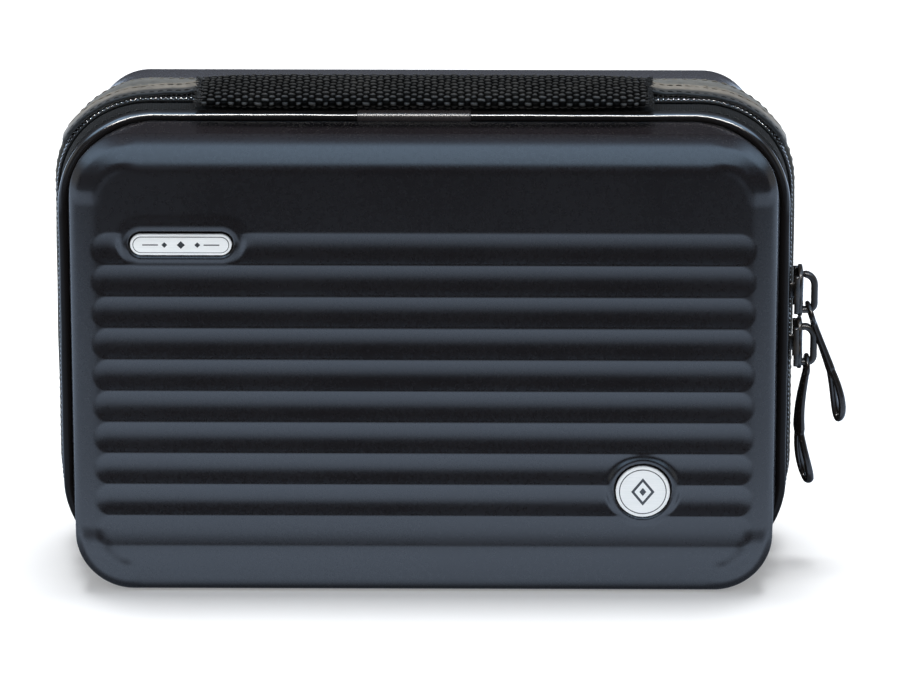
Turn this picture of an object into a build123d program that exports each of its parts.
from build123d import *
import os
from math import cos, sin, radians

# Miniature hard-shell carry case for cards and dice, standing upright.
# Frame: X to the right, Y towards the back, Z up. Origin: centre of the
# resting face under the bottom hinge. Millimetres.

# Shells
FACE_W = 180.0          # front face
FACE_H = 122.4
FACE_R = 15.0           # corner radius of the face outline
DEPTH = 61.0            # front face to rear face
FACE_Y = -DEPTH / 2     # front face
SHELL_Z0 = 0.35         # underside of both shells
SHELL_T = 1.8           # side wall
FACE_T = 2.2            # fluted face
EDGE_R = 4.0            # round-over between face and side wall
RIM_HW = 91.0           # half width at the rim
RIM_TOP = 123.7
RIM_R = 23.0            # corner radius at the rim
RIM_Y = 17.2            # distance of both rims from the middle
PAD_RADII = (12.4, 7.0)  # outer and inner radius of the corner pads
PAD_H = 0.6             # corner pads stand this far off the face
PAD_ROOT = 1.2          # and reach this far into it

# Horizontal ribs, left standing between the flutes
RIB_PITCH = 8.538
RIB_TOP = 97.99         # height of the uppermost rib crest
RIB_N = 11
FLUTE_L = 168.0
FLUTE_H = 6.6
FLUTE_D = 0.9

# Name plate and badge on the front face
PLATE_C = (-61.7, 94.9)
PLATE_L, PLATE_H = 25.9, 5.7
BADGE_C = (56.4, 28.0)
BADGE_R = 7.0
PLATE_COLLAR = 2.7      # unfluted margin around each
BADGE_COLLAR = 2.6
POCKET_GAP = 0.7
POCKET_D = 1.0
PLATE_BACK = 0.7        # back of the plates, below the face
PLATE_PROUD = 0.5       # their front, above the face
ADHESIVE_INSET = 0.5

# Piping around both rims
PIPE_R = 1.4
PIPE_Y = 15.2
PIPE_HW = 92.4
PIPE_TOP = 124.5        # centre line of the front piping at the top
REAR_PIPE_TOP = 123.1
PIPE_BOT = 1.45
PIPE_CR = 24.0
SLEEVE_R = 1.85
SLEEVE_GAP = 0.03
SLEEVE_X = (-17.0, 12.0)

# Gusset, zip and hinge
PART_Y = -5.0           # parting plane of the zip
SIDE_X = 95.4           # half width over the gusset
GUSSET_TOP = 126.0
GUSSET_R = 25.0
BAND_Z0 = 0.6
HINGE_HX = 60.0         # half length of the bottom hinge strip
STOP_X = 61.6
STOP_HX = 1.2

# Sliders and pulls, on the right side
SLIDER_L = 13.6
SLIDER_X = SIDE_X + 1.1  # inner face of the outer plate
OUTER_PLATE_T = 1.3
INNER_PLATE_DX = -5.0   # inner plate, from SLIDER_X
INNER_PLATE_T = 1.0
SLIDER_LOW_INSET = 3.4  # lower end circle, centre to plate end
PIVOT_X = 99.1          # axis of both pulls
BAR = 0.75              # half thickness of the bridge wire
BRIDGE_HY = 0.95        # half width of the bridge wire
BEND_R = 1.75           # centre-line radius of the bridge corners
PULL_L = 32.0
PULL_T = 1.3
EYE_BAR = 0.6           # half height of the bar at the pivot

# Handle
GRIP_HX = 114.0 / 2
GRIP_A = 12.0           # half width
GRIP_B = 2.6            # half thickness
GRIP_WALL = 0.8
CORE_INSET = 0.9
CORE_END = 2.0          # core stops this far short of the sleeve ends
GRIP_Y = -8.9
GRIP_Z = 129.0
STRAP_Y = (-6.5, 1.3)
STRAP_T = 1.2
STRAP_ARC_C = (SIDE_X - GUSSET_R, GUSSET_TOP - GUSSET_R)
STRAP_ARC_R = GUSSET_R + 0.35  # underside of the strap
STRAP_END_A = 48        # degrees above horizontal
PATCH_END_A = 30.0
PATCH_STEPS = 6
PATCH_T = 1.1
PATCH_LAP = 0.8         # patch is wider than the strap at the rear edge

# Interior
LINER_HW = 87.6
LINER_R = 18.0
LINER_Z = (3.9, 120.35)
LINER_MID_Z = sum(LINER_Z) / 2
LINER_T = 1.0
INSERT_GAP = 1.3        # inset of the tray and pocket from the liner outline
TRAY_Y = (-3.2, 26.9)
TRAY_FLOOR = 2.5
WELL_W = 69.0           # card wells, for sleeved cards 66 x 91
WELL_H = 94.0
WELL_R = 2.5
DICE_W = 22.0
DICE_R = 6.0
WELL_WALL = 3.0
WELL_X = DICE_W / 2 + WELL_WALL + WELL_W / 2
SCOOP_R = 8.5
SCOOP_D = 18.0
CARD_STRAP_LAP = 1.2    # beyond each side of the well
CARD_STRAP_HZ = 10.0
POCKET_TOP = 78.0

os.makedirs("parts", exist_ok=True)


def save(shape, name):
    export_step(shape, f"parts/{name}.step")


def at_y(y):
    """Sketch plane with local axes X and Z; it extrudes towards -Y."""
    return Plane(origin=(0, y, 0), x_dir=(1, 0, 0), z_dir=(0, -1, 0))


def across_x(x, y=0, z=0):
    """Sketch plane with local axes Y and Z; it extrudes towards +X."""
    return Plane(origin=(x, y, z), x_dir=(0, 1, 0), z_dir=(1, 0, 0))


def rounded(half_w, z0, z1, r, inset=0.0):
    return Pos(0, (z0 + z1) / 2) * RectangleRounded(
        2 * (half_w - inset), z1 - z0 - 2 * inset, r - inset
    )


def rect(half_w, z0, z1):
    return Pos(0, (z0 + z1) / 2) * Rectangle(2 * half_w, z1 - z0)


def slab(sketch, y0, y1):
    return extrude(at_y(y1) * sketch, amount=y1 - y0)


def box(x0, x1, y0, y1, z0, z1):
    centre = Pos((x0 + x1) / 2, (y0 + y1) / 2, (z0 + z1) / 2)
    return centre * Box(x1 - x0, y1 - y0, z1 - z0)


def ring(half_w, z0, z1, r, wall, y0, y1):
    outline = (half_w, z0, z1, r)
    return slab(rounded(*outline) - rounded(*outline, inset=wall), y0, y1)


# ---- shells --------------------------------------------------------------
def shell_body():
    """Front shell without flutes: a hollow loft from face to rim, with corner pads."""
    face = (FACE_W / 2, SHELL_Z0, SHELL_Z0 + FACE_H, FACE_R)
    rim = (RIM_HW, SHELL_Z0, RIM_TOP, RIM_R)
    outer = loft([at_y(FACE_Y) * rounded(*face), at_y(-RIM_Y) * rounded(*rim)])
    outer = fillet(outer.faces().sort_by(Axis.Y)[0].edges(), EDGE_R)
    # the cavity runs slightly past the rim to cut it open
    body = outer - loft([
        at_y(FACE_Y + FACE_T) * rounded(*face, inset=SHELL_T),
        at_y(-RIM_Y + 0.01) * rounded(*rim, inset=SHELL_T),
    ])
    pad_ring = Circle(PAD_RADII[0]) - Circle(PAD_RADII[1])
    for side in (-1, 1):
        for up in (1, -1):
            x = side * (FACE_W / 2 - FACE_R)
            z = SHELL_Z0 + FACE_H / 2 + up * (FACE_H / 2 - FACE_R)
            quadrant = Pos(side * FACE_R / 2, up * FACE_R / 2) * Rectangle(FACE_R, FACE_R)
            pad = Pos(x, z) * (pad_ring & quadrant)
            body += slab(pad, FACE_Y - PAD_H, FACE_Y + PAD_ROOT)
    return body


def flutes(collars=()):
    """Cutter for the grooves between ribs, interrupted at the collars."""
    grooves = None
    for i in range(RIB_N - 1):
        groove = Pos(0, RIB_TOP - RIB_PITCH * (i + 0.5)) * SlotOverall(FLUTE_L, FLUTE_H)
        for collar in collars:
            groove = groove - collar
        grooves = groove if grooves is None else grooves + groove
    return slab(grooves, FACE_Y - 1, FACE_Y + FLUTE_D)


def plate(margin=0.0):
    return Pos(*PLATE_C) * SlotOverall(PLATE_L + 2 * margin, PLATE_H + 2 * margin)


def badge(margin=0.0):
    return Pos(*BADGE_C) * Circle(BADGE_R + margin)


base_shell = shell_body()
front_shell = base_shell - flutes([plate(PLATE_COLLAR), badge(BADGE_COLLAR)])
front_shell -= slab(plate(POCKET_GAP) + badge(POCKET_GAP), FACE_Y - 1, FACE_Y + POCKET_D)
save(front_shell, "front_shell")
save(mirror(base_shell - flutes(), about=Plane.XZ), "rear_shell")

# blank name plate and round badge, each on a pad of adhesive
for outline, plate_name, adhesive_name in (
    (plate, "nameplate", "nameplate_adhesive"),
    (badge, "round_badge", "badge_adhesive"),
):
    adhesive = slab(outline(-ADHESIVE_INSET), FACE_Y + PLATE_BACK, FACE_Y + POCKET_D)
    save(adhesive, adhesive_name)
    save(slab(outline(), FACE_Y - PLATE_PROUD, FACE_Y + PLATE_BACK), plate_name)


# ---- piping --------------------------------------------------------------
def piping(y, top):
    path = (at_y(y) * rounded(PIPE_HW, PIPE_BOT, top, PIPE_CR)).face().outer_wire()
    section = Plane(origin=path @ 0, z_dir=path % 0) * Circle(PIPE_R)
    return sweep(section, path=path, transition=Transition.ROUND)


def piping_sleeve(y, z):
    section = Circle(SLEEVE_R) - Circle(PIPE_R + SLEEVE_GAP)
    x0, x1 = SLEEVE_X
    return extrude(across_x(x0, y, z) * section, amount=x1 - x0)


for end, y, top in (("front", -PIPE_Y, PIPE_TOP), ("rear", PIPE_Y, REAR_PIPE_TOP)):
    save(piping(y, top), f"{end}_piping")
    save(piping_sleeve(y, top), f"{end}_piping_sleeve")

# ---- gusset, zip and hinge -----------------------------------------------
# bands run up both sides and over the top, open at the hinge strip
hinge_gap = box(-HINGE_HX - 3, HINGE_HX + 3, -20, 20, -5, 8)

# name, half width, top, wall, y0, y1
BANDS = (
    ("front_zip_tape", 94.4, 125.4, 0.9, -13.2, -7.8),
    ("front_zip_coil", 95.0, 126.2, 1.9, -7.7, -5.5),
    ("rear_zip_coil", 95.0, 126.2, 1.9, -4.5, -2.3),
    ("rear_zip_tape", SIDE_X, GUSSET_TOP, 0.9, -2.2, 2.5),
    ("gusset_band", SIDE_X - 0.2, 125.3, 1.2, 2.7, 13.2),
)
for name, half_w, top, wall, y0, y1 in BANDS:
    save(ring(half_w, BAND_Z0, top, GUSSET_R, wall, y0, y1) - hinge_gap, name)

# closed rings: the board inside the gusset, and the bindings that cover the
# seam behind each rim
# name, half width, z0, z1, corner radius, wall, y0, y1
RINGS = (
    ("gusset_board", 91.6, 2.4, 121.9, 21.0, 1.5, -1.0, 13.2),
    ("front_seam_binding", 88.8, 3.0, 121.2, 19.6, 0.6, -16.9, -13.4),
    ("rear_seam_binding", 88.8, 3.0, 121.2, 19.6, 0.6, 13.4, 16.9),
)
for name, *sizes in RINGS:
    save(ring(*sizes), name)

save(box(-HINGE_HX, HINGE_HX, -13.4, 13.4, 0, 1.2), "hinge_strip")
save(box(-HINGE_HX + 2, HINGE_HX - 2, -13.0, 13.0, 1.45, 2.05), "hinge_liner")

# moulded stops that close the zip at its two lower ends
stops = [
    box(side * STOP_X - STOP_HX, side * STOP_X + STOP_HX, -4.6, -2.2, 0.5, 2.3)
    for side in (-1, 1)
]
save(Compound(children=stops), "zip_end_stops")


# ---- sliders and pulls ---------------------------------------------------
def slider_plate(x, z, width, top_inset, top_r, low_r, thickness):
    """Plate facing +X with a round at each end; the insets place their centres."""
    plane = Plane(origin=(x, PART_Y, z), x_dir=(0, 0, 1), z_dir=(1, 0, 0))
    outline = (
        Rectangle(SLIDER_L - 4, width)
        + Pos(SLIDER_L / 2 - top_inset, 0) * Circle(top_r)
        + Pos(-SLIDER_L / 2 + SLIDER_LOW_INSET, 0) * Circle(low_r)
    )
    return extrude(plane * outline, amount=thickness)


def slider(z):
    outer = slider_plate(SLIDER_X, z, width=8.6, top_inset=4.2, top_r=4.2, low_r=3.4,
                         thickness=OUTER_PLATE_T)
    inner = slider_plate(SLIDER_X + INNER_PLATE_DX, z, width=7.6, top_inset=4.0, top_r=3.7,
                         low_r=3.2, thickness=INNER_PLATE_T)
    post = box(SLIDER_X - 4.2, SLIDER_X + 0.1, PART_Y - 0.42, PART_Y + 0.42, z - 2.2, z + 2.2)
    return outer + inner + post


def bridge(pivot_z, top_z, notched):
    """Wire loop in the XZ plane; its lower outer corner is centred on the pull's axis."""
    plate_x = SLIDER_X + OUTER_PLATE_T
    tail_x = plate_x - 4
    outer_r = BEND_R + BAR
    end_x = PIVOT_X + outer_r
    low_z = pivot_z - outer_r
    mid_z = (low_z + top_z) / 2

    def loop(inset, r):
        width = end_x - inset - tail_x
        height = top_z - low_z - 2 * inset
        return Pos(tail_x + width / 2, mid_z) * RectangleRounded(width, height, r)

    # only the part outside the slider plate is kept
    outside = Pos((plate_x + end_x + 1) / 2, mid_z) * Rectangle(
        end_x + 1 - plate_x, top_z - low_z + 2
    )
    wire = (loop(0, outer_r) & outside) - loop(2 * BAR, BEND_R - BAR)
    if notched:
        # opens the upper arm next to the plate
        wire -= Pos(plate_x + 0.9, top_z - 0.7) * Rectangle(1.9, 3.2)
    return slab(wire, PART_Y - BRIDGE_HY, PART_Y + BRIDGE_HY)


def pull(pivot_z, tilt, eye_end):
    """Plate hanging from its eye bar at the pivot, then tilted outward."""
    end_r = 3.2
    outline = rect(2.3, -PULL_L + 1.75, -1.75)
    outline += rect(3.05, -eye_end, EYE_BAR)
    outline += Pos(0, -PULL_L + end_r + 0.7) * Circle(end_r)
    outline += Pos(0, -PULL_L + 9.0) * SlotOverall(14, 2 * end_r, rotation=90)
    outline = outline & rect(4, -PULL_L + EYE_BAR, EYE_BAR)
    outline -= rect(1.7, -eye_end, -EYE_BAR)
    outline -= Pos(0, -PULL_L + 8.2) * SlotOverall(11, 2.8, rotation=90)
    blank = extrude(across_x(PULL_T / 2) * outline, amount=-PULL_T)
    return Pos(PIVOT_X, PART_Y, pivot_z) * (Rot(0, -tilt, 0) * blank)


# name, slider centre z, pivot z, bridge top z, bridge notched, pull tilt, eye end
SLIDERS = (
    ("upper", 74.1, 70.6, 79.3, True, 20.0, 10.0),
    ("lower", 59.9, 56.2, 65.0, False, 3.0, 6.0),
)
for name, z, pivot_z, top_z, notched, tilt, eye_end in SLIDERS:
    save(slider(z), f"{name}_slider")
    save(bridge(pivot_z, top_z, notched), f"{name}_slider_bridge")
    save(pull(pivot_z, tilt, eye_end), f"{name}_pull")


# ---- carrying handle -----------------------------------------------------
def grip_ellipse(inset=0.0):
    return Ellipse(GRIP_A - inset, GRIP_B - inset)


def grip_sleeve():
    section = grip_ellipse() - grip_ellipse(GRIP_WALL)
    return extrude(across_x(-GRIP_HX, GRIP_Y, GRIP_Z) * section, amount=2 * GRIP_HX)


def grip_core():
    """Filling of the sleeve, cut away where the strap passes."""
    plane = across_x(-GRIP_HX + CORE_END, GRIP_Y, GRIP_Z)
    core = extrude(plane * grip_ellipse(CORE_INSET), amount=2 * (GRIP_HX - CORE_END))
    slot_hz = STRAP_T / 2 + 0.15
    return core - box(-GRIP_HX, GRIP_HX, STRAP_Y[0] - 0.2, STRAP_Y[1] + 0.2,
                      GRIP_Z - slot_hz, GRIP_Z + slot_hz)


def corner_point(height, angle):
    """Point above the strap's underside, around the right corner of the gusset."""
    r = STRAP_ARC_R + height
    return (STRAP_ARC_C[0] + r * cos(radians(angle)), STRAP_ARC_C[1] + r * sin(radians(angle)))


def mirrored(points):
    return [(-x, z) for x, z in points]


def handle_strap():
    """Level inside the grip, steps down to the gusset and follows its corners."""
    centre = [
        (0, GRIP_Z),
        (GRIP_HX + 0.5, GRIP_Z),
        (GRIP_HX + 5, GRIP_Z - 1.6),
        (STRAP_ARC_C[0] - 4, STRAP_ARC_C[1] + STRAP_ARC_R + 1.0),
    ]
    centre += [corner_point(STRAP_T / 2, a) for a in range(90, STRAP_END_A - 1, -6)]
    top, under = [], []
    for i, (x, z) in enumerate(centre):
        x0, z0 = centre[max(i - 1, 0)]
        x1, z1 = centre[min(i + 1, len(centre) - 1)]
        scale = STRAP_T / 2 / ((x1 - x0) ** 2 + (z1 - z0) ** 2) ** 0.5
        dx, dz = -(z1 - z0) * scale, (x1 - x0) * scale
        top.append((x + dx, z + dz))
        under.append((x - dx, z - dz))
    outline = mirrored(top)[::-1] + top[1:] + under[::-1] + mirrored(under)[1:]
    return slab(make_face(Polyline(*outline, close=True)), *STRAP_Y)


def end_patch_outline():
    """Right-hand patch over the end of the strap."""
    start = STRAP_END_A - 1.0
    step = (PATCH_END_A - start) / PATCH_STEPS
    angles = [start + step * k for k in range(PATCH_STEPS + 1)]
    outer = [corner_point(PATCH_T, a) for a in angles]
    return outer + [corner_point(0, a) for a in reversed(angles)]


save(grip_sleeve(), "handle_grip_sleeve")
save(grip_core(), "handle_grip_core")
save(handle_strap(), "handle_strap")
patch = end_patch_outline()
for side, points in (("left", mirrored(patch)), ("right", patch)):
    face = make_face(Polyline(*points, close=True))
    save(slab(face, STRAP_Y[0], STRAP_Y[1] + PATCH_LAP), f"strap_end_patch_{side}")


# ---- interior ------------------------------------------------------------
def liner_outline(inset=0.0):
    return rounded(LINER_HW, *LINER_Z, LINER_R, inset)


def liner(open_y, floor_y):
    to_open = 1 if open_y > floor_y else -1
    cavity_y = sorted((floor_y + to_open * LINER_T, open_y + to_open))
    body = slab(liner_outline(), *sorted((open_y, floor_y)))
    return body - slab(liner_outline(LINER_T), *cavity_y)


def insert_tray():
    """Foam insert with two card wells and a dice bay between them."""
    tray = slab(liner_outline(INSERT_GAP), *TRAY_Y)
    wells = Pos(-WELL_X, LINER_MID_Z) * RectangleRounded(WELL_W, WELL_H, WELL_R)
    wells += Pos(WELL_X, LINER_MID_Z) * RectangleRounded(WELL_W, WELL_H, WELL_R)
    wells += Pos(0, LINER_MID_Z) * RectangleRounded(DICE_W, WELL_H, DICE_R)
    tray -= slab(wells, TRAY_Y[0] - 1, TRAY_Y[1] - TRAY_FLOOR)
    # finger scoops at the top of both card wells
    for side in (-1, 1):
        scoop = Pos(side * WELL_X, LINER_MID_Z + WELL_H / 2) * Circle(SCOOP_R)
        tray -= slab(scoop, TRAY_Y[0] - 1, TRAY_Y[0] + SCOOP_D)
    return tray


save(liner(open_y=-6.0, floor_y=-28.1), "front_liner")
save(liner(open_y=-3.4, floor_y=28.1), "rear_liner")
save(insert_tray(), "insert_tray")

strap_hx = WELL_W / 2 + CARD_STRAP_LAP
for name, x in (("left", -WELL_X), ("right", WELL_X)):
    card_strap = box(x - strap_hx, x + strap_hx, -4.3, -3.5,
                     LINER_MID_Z - CARD_STRAP_HZ, LINER_MID_Z + CARD_STRAP_HZ)
    save(card_strap, f"card_strap_{name}")

# elastic mesh pocket in the front shell, with a bound upper edge
save(slab(liner_outline(INSERT_GAP) & rect(100, 0, POCKET_TOP), -17.2, -16.7),
     "lid_mesh_pocket")
save(box(-LINER_HW + 1.8, LINER_HW - 1.8, -17.8, -16.2, POCKET_TOP + 0.1, 84.5),
     "pocket_binding")
